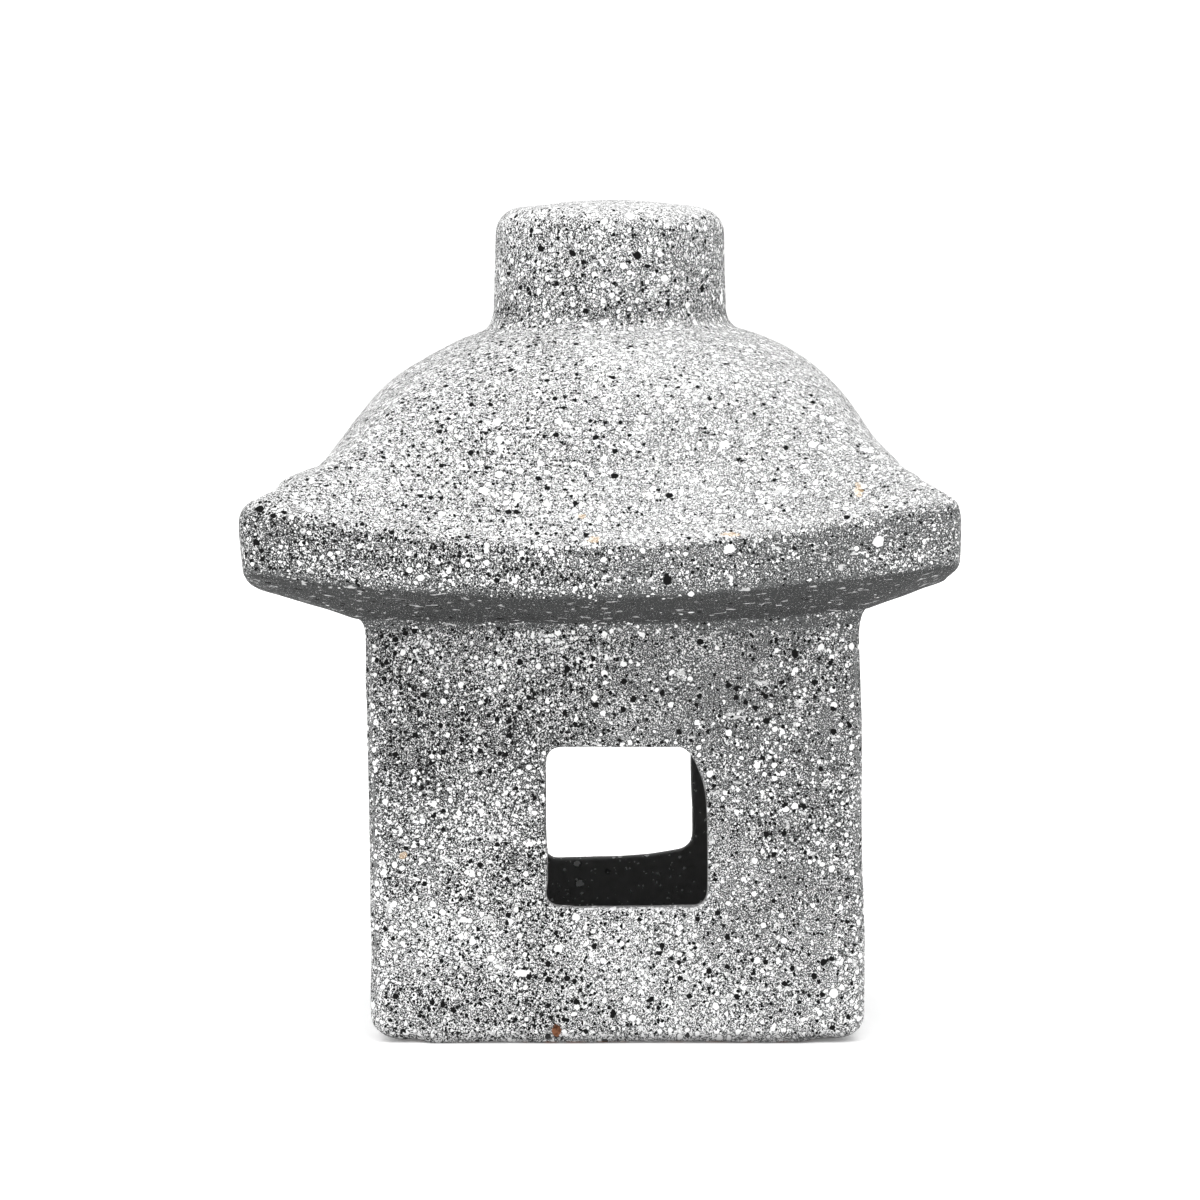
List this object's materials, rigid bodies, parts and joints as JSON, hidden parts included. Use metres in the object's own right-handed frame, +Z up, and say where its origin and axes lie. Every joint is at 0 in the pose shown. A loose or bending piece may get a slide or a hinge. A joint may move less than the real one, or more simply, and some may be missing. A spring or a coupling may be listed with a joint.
{
  "type": "stone lantern",
  "caption": "Small granite-look pottery garden lantern with a square windowed light chamber, a roof with lifted corners, a round cap and a tealight inside.",
  "frame": {"origin": "middle of the flat base on the ground", "axes": "+Z up through the cap, -Y out of the front window, +X to the right of someone who looks at the front"},
  "size_m": [0.211, 0.211, 0.25],
  "materials": {
    "granite_coat_chamber": "fired clay with a matt granite spatter coat",
    "granite_coat_roof": "fired clay with a matt granite spatter coat",
    "granite_coat_cap": "fired clay with a matt granite spatter coat",
    "joint_mortar": "joint mortar under the same spatter coat",
    "pressed_aluminium": "bright drawn sheet",
    "candle_wax": "cast paraffin wax",
    "wick_cotton": "waxed braided cotton",
    "tinplate": "thin stamped sheet"
  },
  "bodies": {
    "lantern": {"light_chamber": "granite_coat_chamber", "eave_joint_bed": "joint_mortar", "roof": "granite_coat_roof", "cap_joint_bed": "joint_mortar", "cap": "granite_coat_cap"},
    "tealight": {"tealight_cup": "pressed_aluminium", "tealight_wax": "candle_wax", "tealight_wick": "wick_cotton", "tealight_wick_tab": "tinplate"}
  },
  "joints": [
    {"name": "tealight_slide", "type": "slide", "parent": "lantern", "child": "tealight", "axis": [0, -0.8212, 0.5707], "range_m": [0, 0.15]}
  ]
}
